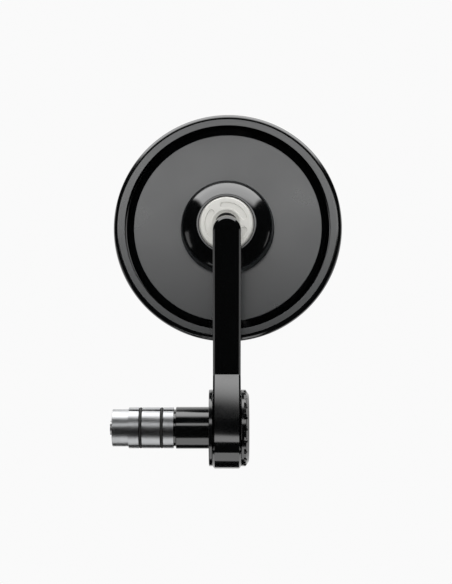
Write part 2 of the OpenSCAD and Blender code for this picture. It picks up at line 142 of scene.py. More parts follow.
# White sheets close the tent behind on the left and right, for the glass to mirror from the rear.
# They too go from dark to full over shares of the tent's radius.
sheets = add(tree, "MapRange", {"From Min": SHEET_X[0], "From Max": SHEET_X[1]},
             {"Value": sideways.outputs[0]})
for axis, (dark, full) in (("Y", SHEET_Y), ("Z", SHEET_Z)):
    edge = add(tree, "MapRange", {"From Min": dark * TENT_R, "From Max": full * TENT_R},
               {"Value": parts.outputs[axis]})
    sheets = add(tree, "Math", {"operation": "MULTIPLY"}, {0: sheets.outputs[0], 1: edge.outputs[0]})
for cloth, strength in ((strips, STRIP_GLOW), (sheets, SHEET_GLOW)):
    cloth = add(tree, "Math", {"operation": "MULTIPLY", 1: strength}, {0: cloth.outputs[0]})
    level = add(tree, "Math", {"operation": "MAXIMUM"}, {0: level.outputs[0], 1: cloth.outputs[0]})
shine = add(tree, "Emission", {"Color": (1, 1, 1, 1)}, {"Strength": level.outputs[0]})
tree.links.new(shine.outputs[0], tree.nodes["Material Output"].inputs["Surface"])
tent.data.materials.append(tent_look)
tent.visible_camera = tent.visible_diffuse = tent.visible_shadow = False
tent.visible_transmission = False

# The floor and the world show near white to the camera and in gloss and glass, and light the matt
# colours at their own plain level.
FLOOR_Z, FLOOR_HALF, FLOOR_LIFT = -0.80, 3.4, 0.225
WORLD_LIGHT, WORLD_SEEN = 0.72, 0.955
corners = np.array([[[-1, -1], [-1, 1]], [[1, -1], [1, 1]]]) * FLOOR_HALF
floor = grid_mesh("floor", np.concatenate([corners, np.full((2, 2, 1), FLOOR_Z)], -1))
floor_look = bpy.data.materials.new("white_studio_floor")
floor_look.use_nodes = True
tree = floor_look.node_tree
skin = tree.nodes["Principled BSDF"]
skin.inputs["Base Color"].default_value = linear("#f7f7f6")
skin.inputs["Roughness"].default_value = 0.8
skin.inputs["Emission Color"].default_value = (1, 1, 1, 1)
ray = add(tree, "LightPath")
lift = add(tree, "Math", {"operation": "ADD"},
           {0: ray.outputs["Is Camera Ray"], 1: ray.outputs["Is Glossy Ray"]})
lift = add(tree, "Math", {"operation": "ADD", "use_clamp": True},
           {0: lift.outputs[0], 1: ray.outputs["Is Transmission Ray"]})
lift = add(tree, "Math", {"operation": "MULTIPLY", 1: FLOOR_LIFT}, {0: lift.outputs[0]})
tree.links.new(lift.outputs[0], skin.inputs["Emission Strength"])
floor.data.materials.append(floor_look)

world = bpy.context.scene.world or bpy.data.worlds.new("studio")
bpy.context.scene.world = world
world.use_nodes = True
tree = world.node_tree
tree.nodes.clear()
ray = add(tree, "LightPath")
seen = add(tree, "Math", {"operation": "ADD"},
           {0: ray.outputs["Is Camera Ray"], 1: ray.outputs["Is Glossy Ray"]})
seen = add(tree, "Math", {"operation": "ADD", "use_clamp": True},
           {0: seen.outputs[0], 1: ray.outputs["Is Transmission Ray"]})
soft = add(tree, "Background", {"Color": (1, 1, 1, 1), "Strength": WORLD_LIGHT})
white = add(tree, "Background", {"Color": (1, 1, 1, 1), "Strength": WORLD_SEEN})
both = add(tree, "MixShader", links={0: seen.outputs[0], 1: soft.outputs[0], 2: white.outputs[0]})
add(tree, "OutputWorld", links={"Surface": both.outputs[0]})

# The lamp overhead leaves its reflections to the tent's glow.
LAMP_RADIANCE = 1.8
softbox = bpy.data.lights.new("softbox", "AREA")
softbox.shape = "RECTANGLE"
softbox.size, softbox.size_y = 1.30, 1.00
softbox.energy = np.pi * softbox.size * softbox.size_y * LAMP_RADIANCE
lamp = bpy.data.objects.new("softbox", softbox)
lamp.location = (0.0076, 0.10, 0.86)
lamp.visible_glossy = False
bpy.context.scene.collection.objects.link(lamp)

# The camera looks level along +Y from 0.6 m away. Its focal length is in pixels of the frame.
EYE = (0.00725, -0.608, 0.0579)
FOCAL_PIXELS, FRAME_PIXELS = 1426, 452
camera = bpy.data.cameras.new("camera")
camera.sensor_fit, camera.sensor_width = "HORIZONTAL", 36.0
camera.lens = camera.sensor_width * FOCAL_PIXELS / FRAME_PIXELS
camera.clip_start, camera.clip_end = 0.01, 50
viewer = bpy.data.objects.new("camera", camera)
viewer.location = EYE
viewer.rotation_euler = (np.pi / 2, 0, 0)
bpy.context.scene.collection.objects.link(viewer)
bpy.context.scene.camera = viewer
bpy.context.scene.view_settings.view_transform = "Standard"

# Clamp arm. Milled from one aluminium plate, both long edges chamfered, and gloss black anodised.
# The clamp ring closes on the bar end with one screw across its slit; the arm carries the ball stud.
ALUMINA_IOR = 2.0
ANODISED_BLACK = "#040506"


def smooth_copy(node, name, sharp=28.0, weld=2e-6):
    """Copies a CAD node's loose triangles into one joined mesh, shaded smooth except at edges
    that turn by more than the given angle. The normals and sharp edges that the node brings along
    are dropped, because they would stay in force over the new ones."""
    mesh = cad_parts[node].data.copy()
    tidy = bmesh.new()
    tidy.from_mesh(mesh)
    bmesh.ops.remove_doubles(tidy, verts=tidy.verts, dist=weld)
    bmesh.ops.dissolve_degenerate(tidy, edges=tidy.edges, dist=1e-7)
    tidy.to_mesh(mesh)
    tidy.free()
    for name_of in ("custom_normal", "sharp_edge"):
        if name_of in mesh.attributes:
            mesh.attributes.remove(mesh.attributes[name_of])
    mesh.update()
    mesh.materials.clear()
    piece = bpy.data.objects.new(name, mesh)
    bpy.context.scene.collection.objects.link(piece)
    even_shading(piece, sharp)
    return piece


def even_shading(piece, sharp=28.0):
    """Smooth shading that keeps flats flat: corners sharper than the angle split, and each
    point's normal leans to its larger faces."""
    mesh = piece.data
    mesh.polygons.foreach_set("use_smooth", np.ones(len(mesh.polygons), bool))
    mesh.set_sharp_from_angle(angle=np.radians(sharp))
    even = piece.modifiers.new("even_normals", "WEIGHTED_NORMAL")
    even.keep_sharp = True
    even.weight = 60


def put(piece, body, node, slot, *looks):
    """Gives a piece its materials, rides it on its body and lets it stand for its CAD node."""
    for look in looks:
        piece.data.materials.append(look)
    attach(piece, body)
    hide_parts(node)


# Gloss black anodising: a clear hard oxide over dyed metal, so it mirrors softly and shows fine
# handling marks. The real marks are a few hundredths of a millimetre wide; drawn at 0.3 mm to show.
black_gloss, tree, skin, place = new_look("gloss_black_anodised")
tone = add(tree, "TexNoise", {"Scale": 90.0, "Detail": 4.0}, {"Vector": place})
shade = add(tree, "Mix", {"data_type": "RGBA", 6: linear(ANODISED_BLACK), 7: linear("#08090a")},
            {0: tone.outputs["Fac"]})
marks = add(tree, "TexNoise", {"Scale": 3300.0, "Detail": 2.0}, {"Vector": place})
smear = add(tree, "TexNoise", {"Scale": 55.0, "Detail": 3.0, "Roughness": 0.6},
            {"Vector": place})
gloss = add(tree, "MapRange", {"From Min": 0.35, "From Max": 0.7, "To Min": 0.10, "To Max": 0.17},
            {"Value": smear.outputs["Fac"]})
bump = add(tree, "Bump", {"Strength": 0.06, "Distance": 0.00002}, {"Height": marks.outputs["Fac"]})
skin.inputs["IOR"].default_value = ALUMINA_IOR
tree.links.new(shade.outputs[2], skin.inputs["Base Color"])
tree.links.new(gloss.outputs[0], skin.inputs["Roughness"])
tree.links.new(bump.outputs[0], skin.inputs["Normal"])

clamp_arm = smooth_copy("arm", "clamp_arm", weld=2e-5)
put(clamp_arm, "arm", "arm", "black_gloss", black_gloss)

# Clamp screw. A socket head screw of hardened steel, sunk in the clamp from below, that pulls the slit
# together. Black oxide is a thin dark skin on the steel, rubbed paler where it has been handled.
black_oxide, tree, skin, place = new_look("black_oxide_steel")
rub = add(tree, "TexNoise", {"Scale": 400.0, "Detail": 5.0}, {"Vector": place})
shade = add(tree, "ValToRGB", {}, {0: rub.outputs["Fac"]})
shade.color_ramp.elements[0].color = linear("#202124")
shade.color_ramp.elements[1].position = 0.75
shade.color_ramp.elements[1].color = linear("#47484b")
bump = add(tree, "Bump", {"Strength": 0.1, "Distance": 0.00003}, {"Height": rub.outputs["Fac"]})
skin.inputs["Metallic"].default_value = 0.85
skin.inputs["Roughness"].default_value = 0.38
tree.links.new(shade.outputs[0], skin.inputs["Base Color"])
tree.links.new(bump.outputs[0], skin.inputs["Normal"])
screw = smooth_copy("clamp_screw", "socket_screw")
put(screw, "arm", "clamp_screw", "black_screw", black_oxide)

# Ball stud. Turned from stainless steel and polished: ball, waisted neck, collar against the arm's
# back and a thread into the arm. The housing swings on the ball.
BALL = np.array([0.0076, 0.009033, 0.086824])
BALL_R, NECK_R, COLLAR_R, THREAD_R = 6.0, 1.8, 4.0, 2.5
BACK_REACH, STUD_END = 12.196, 16.096
COLLAR_T, FLARE, COLLAR_EDGE = 1.8, 2.2, 0.15
ARM_LEAN = 10.0


def rounded(profile, radii, steps=5):
    """Rounds the corners of a closed (radius, height) outline: at each corner a circle of the given
    radius touches both edges, and the outline follows it from one edge to the other."""
    p = np.asarray(profile, float)
    r = np.maximum(np.broadcast_to(np.asarray(radii, float), len(p)), 1e-6)[:, None]
    a, b = np.roll(p, 1, 0) - p, np.roll(p, -1, 0) - p
    a /= np.linalg.norm(a, axis=1, keepdims=True)
    b /= np.linalg.norm(b, axis=1, keepdims=True)
    half = np.arccos(np.clip((a * b).sum(1, keepdims=True), -0.999999, 0.999999)) / 2
    centre = p + (a + b) / np.linalg.norm(a + b, axis=1, keepdims=True) * r / np.sin(half)
    start, end = p + a * r / np.tan(half) - centre, p + b * r / np.tan(half) - centre
    turn = np.pi - 2 * half
    s = np.linspace(0, 1, steps + 1)[None, :, None]
    turn = turn[:, None]
    arc = (np.sin((1 - s) * turn) * start[:, None] + np.sin(s * turn) * end[:, None]) / np.sin(turn)
    return (centre[:, None] + arc).reshape(-1, 2)


def frame_axes(tilt, turn):
    """Axes of a piece whose own Z points at the camera side: the tilt about X first, then the turn
    about the vertical, in degrees. The columns are the piece's X, Y and Z."""
    t, w = np.radians(tilt), np.radians(turn)
    tip = np.array([[1, 0, 0], [0, np.cos(t), -np.sin(t)], [0, np.sin(t), np.cos(t)]])
    swing = np.array([[np.cos(w), -np.sin(w), 0], [np.sin(w), np.cos(w), 0], [0, 0, 1]])
    return swing @ tip


def turned(name, profile, axes, origin, steps=256, closed=True):
    """A turned piece: each (radius, height) point in millimetres goes round the axis,
    (r cos t, r sin t, h), and then through the piece's axes and origin."""
    t = np.linspace(0, 2 * np.pi, steps, endpoint=False)[None, :]
    r, h = np.asarray(profile, float)[:, :1], np.asarray(profile, float)[:, 1:]
    local = np.stack([r * np.cos(t), r * np.sin(t), h + 0 * t], -1) / 1000
    return grid_mesh(name, local @ axes.T + origin, wrap_u=closed, wrap_v=True)


arm_axes = frame_axes(90 + ARM_LEAN, 0)
a = np.radians(np.linspace(-90, np.degrees(np.arccos(NECK_R / BALL_R)), 60))
ball_line = np.stack([BALL_R * np.cos(a), BALL_R * np.sin(a)], 1)
s = np.linspace(0, np.pi / 2, 12)
flare = np.stack([NECK_R + (COLLAR_R - NECK_R) * (1 - np.cos(s)),
                  BACK_REACH - COLLAR_T - FLARE * (1 - np.sin(s))], 1)
stem = np.array([[COLLAR_R, BACK_REACH - COLLAR_EDGE], [COLLAR_R - COLLAR_EDGE, BACK_REACH],
                 [THREAD_R, BACK_REACH], [THREAD_R, STUD_END], [0, STUD_END]])
stud = turned("ball_stud_turned", np.concatenate([ball_line, flare, stem]), arm_axes, BALL, closed=False)
even_shading(stud, 35)

# Polished stainless steel is bright with a faint haze, because polishing leaves marks of a few
# thousandths of a millimetre. They are drawn as clouds about 1 mm across, so that the haze shows.
polished, tree, skin, place = new_look("polished_stainless_steel")
haze = add(tree, "TexNoise", {"Scale": 900.0, "Detail": 3.0}, {"Vector": place})
gloss = add(tree, "MapRange", {"To Min": 0.05, "To Max": 0.16}, {"Value": haze.outputs["Fac"]})
shade = add(tree, "Mix", {"data_type": "RGBA", 6: linear("#d2d2cf"), 7: linear("#e2e2df")},
            {0: haze.outputs["Fac"]})
bump = add(tree, "Bump", {"Strength": 0.03, "Distance": 0.00002}, {"Height": haze.outputs["Fac"]})
skin.inputs["Metallic"].default_value = 1.0
tree.links.new(shade.outputs[2], skin.inputs["Base Color"])
tree.links.new(gloss.outputs[0], skin.inputs["Roughness"])
tree.links.new(bump.outputs[0], skin.inputs["Normal"])
put(stud, "arm", "ball_stud", "ball_steel", polished)

# Mirror housing. Turned from an aluminium bar: a flat satin back disc between a domed gloss boss and
# a black channel, a raised satin bezel, and a side that draws in to the glass.
HEAD_TILT, HEAD_TURN = 5.4, 2.4
HEAD_R, BEZEL_Z, DISC_Z, CHANNEL_Z, RECESS_Z, LIP_Z = 50.0, -5.0, -8.2, -8.8, -11.6, -14.8
CHANNEL_R0, CHANNEL_R1, EDGE_ROUND = 41.2, 44.9, 2.4
CHANNEL_FALL, DISC_EDGE, BEZEL_EDGE = 1.34, 0.12, 0.15
BOSS_R, DOME_TOP, DOME_EDGE, SHOULDER_FROM, FOOT_R = 20.1, 30.0, 45.0, 18.3, 0.6
GLASS_SEAT_R = 47.5
SIDE_Z, SIDE_R, SIDE_SWEEP, SIDE_END_R = -7.8, 14.0, 27.664, 48.4
BORE_R, BORE_Z, RIM_R, RIM_Z = 12.05, -10.5, 12.78, 5.1
head_axes = frame_axes(90 - HEAD_TILT, -HEAD_TURN)


def arc(cx, cy, r, start, end, n):
    """Points of a circle about (cx, cy) from one angle to another, in degrees."""
    t = np.radians(np.linspace(start, end, n))
    return np.stack([cx + r * np.cos(t), cy + r * np.sin(t)], 1)


# The boss is a dome whose slope grows outward, a rounded shoulder and a small fillet at its foot.
s = np.linspace(0, 1, 40)
slope = np.radians(DOME_TOP + (DOME_EDGE - DOME_TOP) * s)
dome_r = RIM_R + (SHOULDER_FROM - RIM_R) * s
fall = np.concatenate([[0], np.cumsum((np.tan(slope[1:]) + np.tan(slope[:-1])) / 2 * np.diff(dome_r))])
dome = np.stack([dome_r, RIM_Z - fall], 1)
round_r = (BOSS_R - SHOULDER_FROM) / (1 - np.sin(np.radians(DOME_EDGE)))
low_z = dome[-1, 1] - round_r * np.cos(np.radians(DOME_EDGE))
shoulder = arc(BOSS_R - round_r, low_z, round_r, 90 - DOME_EDGE, 0, 24)[1:]
boss_foot = arc(BOSS_R + FOOT_R, DISC_Z + FOOT_R, FOOT_R, 180, 270, 8)
disc_line = np.stack([np.linspace(BOSS_R + FOOT_R + 0.3, CHANNEL_R0 - 0.3, 24), np.full(24, DISC_Z)], 1)
disc_edge = arc(CHANNEL_R0 - DISC_EDGE, DISC_Z - DISC_EDGE, DISC_EDGE, 90, 0, 5)
floor_z = CHANNEL_Z - CHANNEL_FALL
channel = np.array([[CHANNEL_R0, DISC_Z - 0.2], [CHANNEL_R0 + 0.05, DISC_Z - 0.28],
                    [CHANNEL_R1 - 0.25, floor_z], [CHANNEL_R1 - 0.08, floor_z + 0.04],
                    [CHANNEL_R1, floor_z + 0.24], [CHANNEL_R1, BEZEL_Z - 0.3]])
bezel_edge = arc(CHANNEL_R1 + BEZEL_EDGE, BEZEL_Z - BEZEL_EDGE, BEZEL_EDGE, 180, 90, 6)
outer_edge = arc(HEAD_R - EDGE_ROUND, BEZEL_Z - EDGE_ROUND, EDGE_ROUND, 90, 0, 18)
side = arc(HEAD_R - SIDE_R, SIDE_Z, SIDE_R, 0, -SIDE_SWEEP, 16)
lip = np.array([[SIDE_END_R - 0.15, LIP_Z + 0.12], [SIDE_END_R - 0.5, LIP_Z], [GLASS_SEAT_R, LIP_Z],
                [GLASS_SEAT_R, RECESS_Z], [GLASS_SEAT_R - 0.3, RECESS_Z], [0.0, RECESS_Z]])
bore = np.array([[0.0, BORE_Z], [BORE_R, BORE_Z], [BORE_R, RIM_Z - 0.1], [BORE_R + 0.1, RIM_Z],
                 [RIM_R - 0.15, RIM_Z]])
rows = [bore, dome, shoulder, boss_foot, disc_line, disc_edge, channel, bezel_edge, outer_edge, side, lip]
housing = turned("housing_turned", np.concatenate(rows), head_axes, BALL, steps=360, closed=False)
even_shading(housing, 32)

# Satin black anodising over a bead-blasted face: the blasting leaves pits about 0.1 mm across,
# drawn at 0.35 mm so that they show. It takes a grey sheen from whatever stands before it.
black_satin, tree, skin, place = new_look("satin_black_anodised")
grain = add(tree, "TexNoise", {"Scale": 2800.0, "Detail": 2.0}, {"Vector": place})
cloud = add(tree, "TexNoise", {"Scale": 45.0, "Detail": 3.0}, {"Vector": place})
shade = add(tree, "Mix", {"data_type": "RGBA", 6: linear("#222628"), 7: linear("#282c2e")},
            {0: cloud.outputs["Fac"]})
gloss = add(tree, "MapRange", {"From Min": 0.3, "From Max": 0.7, "To Min": 0.27, "To Max": 0.31},
            {"Value": cloud.outputs["Fac"]})
bump = add(tree, "Bump", {"Strength": 0.10, "Distance": 0.00003}, {"Height": grain.outputs["Fac"]})
skin.inputs["IOR"].default_value = 2.3
tree.links.new(shade.outputs[2], skin.inputs["Base Color"])
tree.links.new(gloss.outputs[0], skin.inputs["Roughness"])
tree.links.new(bump.outputs[0], skin.inputs["Normal"])
put(housing, "head", "mirror_housing", "black_satin", black_satin, black_gloss)

# The channel, the boss and the side keep the bright cut under the black, and the faces between
# them are blasted: faces are sorted by their radius and height in the head's own frame.
centres = np.zeros(len(housing.data.polygons) * 3, np.float32)
housing.data.polygons.foreach_get("center", centres)
local = (centres.reshape(-1, 3) - BALL) @ head_axes * 1000
radius, height = np.hypot(local[:, 0], local[:, 1]), local[:, 2]
on_boss = (radius < SHOULDER_FROM + 1.3) & (height > DISC_Z - 0.05)
in_channel = (radius > CHANNEL_R0) & (radius < CHANNEL_R1 + 0.02)
on_side = (radius > HEAD_R - EDGE_ROUND) | (height < DISC_Z - 0.7)
bright_cut = on_boss | in_channel | on_side
housing.data.polygons.foreach_set("material_index", bright_cut.astype(np.int32))

# Lock ring. Turned from aluminium and left silver; it screws into the boss and holds the front seat
# on the ball. A pin key grips the three kidney recesses in its face.
FACE_Z, RING_R, RING_END, DISH_R, HOLE_R, CUP_R = 5.3, 11.9, -2.4, 6.1, 4.8, 6.8
KIDNEY_R, KIDNEY_W, KIDNEY_DEEP, KIDNEY_START, KIDNEY_SPAN = 8.0, 2.5, 0.4, 23.0, 77.0
KIDNEY_WALL, DISH_DEEP, RING_CHAMFER, FACE_ROWS = 0.16, 0.5, 0.85, 76


def kidney_depth(r, t):
    """How deep the face lies at radius r and angle t: full depth where the distance to the arc
    that a kidney follows is under half its width, falling to none over the wall's width."""
    rel = np.mod(np.degrees(t) - KIDNEY_START, 120.0)
    land = np.minimum(rel - KIDNEY_SPAN, 120 - rel)
    over = np.where(rel <= KIDNEY_SPAN, 0.0, land)
    side = 2 * np.sqrt(r * KIDNEY_R) * np.sin(np.radians(over) / 2)
    away = np.hypot(r - KIDNEY_R, side)
    edge = np.clip((KIDNEY_W / 2 - away) / KIDNEY_WALL + 0.5, 0, 1)
    return KIDNEY_DEEP * edge * edge * (3 - 2 * edge)


hole_z = np.sqrt(CUP_R ** 2 - HOLE_R ** 2)
cup = arc(0, 0, CUP_R, 6.8, np.degrees(np.arcsin(hole_z / CUP_R)), 12)
dish = np.array([[HOLE_R, FACE_Z - DISH_DEEP], [HOLE_R + 0.08, FACE_Z - DISH_DEEP + 0.05],
                 [DISH_R - 0.15, FACE_Z - 0.06]])
face_r = np.linspace(DISH_R, RING_R - RING_CHAMFER - 0.07, FACE_ROWS)
face = np.stack([face_r, np.full(FACE_ROWS, FACE_Z)], 1)
rim = np.array([[RING_R - RING_CHAMFER, FACE_Z - 0.015], [RING_R - RING_CHAMFER + 0.07, FACE_Z - 0.06],
                [RING_R - 0.03, FACE_Z - RING_CHAMFER + 0.08], [RING_R, FACE_Z - RING_CHAMFER],
                [RING_R, RING_END], [CUP_R + 0.1, RING_END], [CUP_R + 0.1, 0.8]])
ring_line = np.concatenate([cup, dish, face, rim])
t = np.linspace(0, 2 * np.pi, 540, endpoint=False)[None, :]
r, h = ring_line[:, :1], ring_line[:, 1:]
row, first = np.arange(len(ring_line)), len(cup) + len(dish)
on_face = (row >= first) & (row < first + FACE_ROWS)
h = h - kidney_depth(r, t) * on_face[:, None]
ring_points = np.stack([r * np.cos(t), r * np.sin(t), h], -1) / 1000 @ head_axes.T + BALL
lock = grid_mesh("lock_ring_turned", ring_points, wrap_u=True, wrap_v=True)
even_shading(lock, 40)

# Clear anodised aluminium with a fine turned face: circles about the ring's axis, 0.05 mm apart on
# the real face and drawn 0.25 mm apart, with a warm pale grey colour.
silver, tree, skin, place = new_look("clear_anodised_aluminium")
centred = add(tree, "VectorMath", {"operation": "SUBTRACT", 1: tuple(BALL)}, {0: place})
ring_axis = tuple(head_axes[:, 2])
along = add(tree, "VectorMath", {"operation": "DOT_PRODUCT", 1: ring_axis}, {0: centred.outputs[0]})
axis = add(tree, "VectorMath", {"operation": "SCALE", 0: ring_axis}, {3: along.outputs["Value"]})
across = add(tree, "VectorMath", {"operation": "SUBTRACT"}, {0: centred.outputs[0], 1: axis.outputs[0]})
out = add(tree, "VectorMath", {"operation": "LENGTH"}, {0: across.outputs[0]})
lines = add(tree, "TexNoise", {"noise_dimensions": "1D", "Scale": 4000.0, "Detail": 2.0},
            {"W": out.outputs["Value"]})
cloud = add(tree, "TexNoise", {"Scale": 300.0, "Detail": 3.0}, {"Vector": place})
shade = add(tree, "Mix", {"data_type": "RGBA", 6: linear("#f1f0ea"), 7: linear("#f8f7f2")},
            {0: cloud.outputs["Fac"]})
gloss = add(tree, "MapRange", {"To Min": 0.30, "To Max": 0.44}, {"Value": cloud.outputs["Fac"]})
bump = add(tree, "Bump", {"Strength": 0.08, "Distance": 0.00003}, {"Height": lines.outputs["Fac"]})
skin.inputs["Metallic"].default_value = 0.45
tree.links.new(shade.outputs[2], skin.inputs["Base Color"])
tree.links.new(gloss.outputs[0], skin.inputs["Roughness"])
tree.links.new(bump.outputs[0], skin.inputs["Normal"])
put(lock, "head", "lock_ring", "bright_alloy", silver)

# Seats. Two rings of black acetal, turned to the ball, that the lock ring and the pressure ring
# hold from both sides. They keep the CAD shape; acetal is a smooth, slightly waxy plastic.
acetal, tree, skin, place = new_look("black_acetal")
wax = add(tree, "TexNoise", {"Scale": 700.0, "Detail": 3.0}, {"Vector": place})
shade = add(tree, "Mix", {"data_type": "RGBA", 6: linear("#131416"), 7: linear("#1d1e20")},
            {0: wax.outputs["Fac"]})
gloss = add(tree, "MapRange", {"To Min": 0.3, "To Max": 0.45}, {"Value": wax.outputs["Fac"]})
bump = add(tree, "Bump", {"Strength": 0.05, "Distance": 0.00003}, {"Height": wax.outputs["Fac"]})
skin.inputs["IOR"].default_value = 1.48
tree.links.new(shade.outputs[2], skin.inputs["Base Color"])
tree.links.new(gloss.outputs[0], skin.inputs["Roughness"])
tree.links.new(bump.outputs[0], skin.inputs["Normal"])
front = smooth_copy("front_seat", "front_seat_turned", 35)
put(front, "ball_pan", "front_seat", "seat_polymer", acetal)
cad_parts["rear_seat"].data.materials.clear()
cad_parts["rear_seat"].data.materials.append(acetal)

# Spring pack. A zinc-plated pressure ring and two phosphated disc springs press the rear seat on the
# ball. They are closed in by the housing.
zinc, tree, skin, place = new_look("zinc_plated_steel")
bloom = add(tree, "TexVoronoi", {"Scale": 900.0}, {"Vector": place})
shade = add(tree, "Mix", {"data_type": "RGBA", 6: linear("#b9bcbe"), 7: linear("#cfd0cf")},
            {0: bloom.outputs["Distance"]})
gloss = add(tree, "MapRange", {"To Min": 0.28, "To Max": 0.42}, {"Value": bloom.outputs["Distance"]})
bump = add(tree, "Bump", {"Strength": 0.06, "Distance": 0.00003}, {"Height": bloom.outputs["Distance"]})
skin.inputs["Metallic"].default_value = 1.0
tree.links.new(shade.outputs[2], skin.inputs["Base Color"])
tree.links.new(gloss.outputs[0], skin.inputs["Roughness"])
tree.links.new(bump.outputs[0], skin.inputs["Normal"])

phosphate, tree, skin, place = new_look("phosphated_spring_steel")
crystal = add(tree, "TexNoise", {"Scale": 5000.0, "Detail": 2.0}, {"Vector": place})
shade = add(tree, "Mix", {"data_type": "RGBA", 6: linear("#46494d"), 7: linear("#5c5f62")},
            {0: crystal.outputs["Fac"]})
bump = add(tree, "Bump", {"Strength": 0.15, "Distance": 0.00003}, {"Height": crystal.outputs["Fac"]})
skin.inputs["Metallic"].default_value = 0.7
skin.inputs["Roughness"].default_value = 0.55
tree.links.new(shade.outputs[2], skin.inputs["Base Color"])
tree.links.new(bump.outputs[0], skin.inputs["Normal"])
for node, look in (("pressure_ring", zinc), ("disc_spring_1", phosphate), ("disc_spring_2", phosphate)):
    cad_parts[node].data.materials.clear()
    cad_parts[node].data.materials.append(look)

# Glass pad. A die-cut disc of closed-cell foam with adhesive on both faces, between the housing and
# the glass. It holds the glass and takes up the knocks of the road.
foam, tree, skin, place = new_look("adhesive_foam")
cells = add(tree, "TexVoronoi", {"Scale": 2500.0}, {"Vector": place})
shade = add(tree, "Mix", {"data_type": "RGBA", 6: linear("#cfc9ba"), 7: linear("#e4dfd2")},
            {0: cells.outputs["Distance"]})
bump = add(tree, "Bump", {"Strength": 0.3, "Distance": 0.00005}, {"Height": cells.outputs["Distance"]})
skin.inputs["Roughness"].default_value = 0.9
tree.links.new(shade.outputs[2], skin.inputs["Base Color"])
tree.links.new(bump.outputs[0], skin.inputs["Normal"])
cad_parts["glass_pad"].data.materials.clear()
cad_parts["glass_pad"].data.materials.append(foam)

# Mirror glass. A flat disc of 2 mm float glass, ground round, silvered on its back, with a fine
# polished arris. The silver takes a slight green-blue from the glass before it.
GLASS_R, GLASS_BACK, GLASS_FRONT, ARRIS = 47.3, -12.4, -14.4, 0.25
glass_line = np.array([[0, GLASS_BACK], [GLASS_R - ARRIS, GLASS_BACK], [GLASS_R, GLASS_BACK - ARRIS],
                       [GLASS_R, GLASS_FRONT + ARRIS], [GLASS_R - ARRIS, GLASS_FRONT], [0, GLASS_FRONT]])
glass = turned("silvered_glass_disc", glass_line, head_axes, BALL, steps=360, closed=False)
even_shading(glass, 20)
mirror, tree, skin, place = new_look("silvered_glass")
wipe = add(tree, "TexNoise", {"Scale": 30.0, "Detail": 4.0, "Distortion": 0.4}, {"Vector": place})
shade = add(tree, "Mix", {"data_type": "RGBA", 6: linear("#c3cdcd"), 7: linear("#c9d2d2")},
            {0: wipe.outputs["Fac"]})
gloss = add(tree, "MapRange", {"From Min": 0.5, "From Max": 0.8, "To Min": 0.008, "To Max": 0.03},
            {"Value": wipe.outputs["Fac"]})
wave = add(tree, "Bump", {"Strength": 0.02, "Distance": 0.00002}, {"Height": wipe.outputs["Fac"]})
skin.inputs["Metallic"].default_value = 1.0
skin.inputs["Coat Weight"].default_value = 1.0
skin.inputs["Coat Roughness"].default_value = 0.01
tree.links.new(shade.outputs[2], skin.inputs["Base Color"])
tree.links.new(gloss.outputs[0], skin.inputs["Roughness"])
tree.links.new(wave.outputs[0], skin.inputs["Normal"])
put(glass, "head", "mirror_glass", "mirror", mirror)

# Bar-end body. Turned aluminium, gloss black anodised: the inner flange, the seat that the clamp
# turns on, the plug and the first wedge cone.
bar_axes = np.array([[0, 0, 1], [1, 0, 0], [0, 1, 0]], float)
BAR_END = np.zeros(3)
body_line = [[3.2, -19], [4.5, -19], [7.9, -15], [7.9, -14], [8.9, -14], [8.9, 0], [16.3, 0], [16.3, 1.55],
             [9.2, 1.55], [9.2, 13.65], [7.05, 13.65], [7.05, 7.85], [3.2, 7.85]]
body_ease = [0.1, 0.1, 0.1, 0.1, 0.3, 0.05, 0.3, 0.3, 0.1, 0.2, 0.1, 0.1, 0.1]
body = turned("bar_end_turned", rounded(body_line, body_ease), bar_axes, BAR_END)
even_shading(body, 35)
put(body, "bar_end", "bar_end_body", "black_gloss", black_gloss)

# End cap. Turned aluminium like the body, with saw-tooth notches milled round its chamfered edge for
# grip. Its pilot sits in the body, sealed by an O-ring, and the centre bolt holds it.
CAP_R, CAP_X0, CAP_X1, CAP_BEVEL_X, CAP_BEVEL_SLOPE, PILOT_R = 16.3, 13.65, 17.0, 15.6, 1.5, 7.0
NOTCHES, NOTCH_PHASE, NOTCH_START, NOTCH_FLOOR_R, NOTCH_RAMP, NOTCH_RISE = 20, -0.7, 14.85, 15.3, 17.0, 8.0


def cap_rim(x, t):
    """Radius of the notched rim: the plain rim, or a notch's floor plane where that is lower. A
    floor climbs along the rim and towards the cap's end, and ends at a wall that leans with it."""
    ramp, rise = np.radians(NOTCH_RAMP), np.radians(NOTCH_RISE)
    pitch = 360 / NOTCHES
    wall = np.degrees(np.tan(ramp) * (CAP_R - NOTCH_FLOOR_R) / CAP_R)
    d = np.mod(np.degrees(t) - NOTCH_PHASE - wall, pitch) - pitch + wall
    plain = CAP_R - np.maximum(x - CAP_BEVEL_X, 0) * CAP_BEVEL_SLOPE
    angle = np.radians(np.minimum(d, 0))
    floor = (NOTCH_FLOOR_R + np.tan(rise) * (x - NOTCH_START)) / (
        np.cos(angle) + np.tan(ramp) / np.cos(rise) * np.sin(angle))
    floor = floor + np.maximum(d, 0) / wall * (CAP_R - NOTCH_FLOOR_R)
    return np.where(x > NOTCH_START, np.minimum(plain, floor), plain)


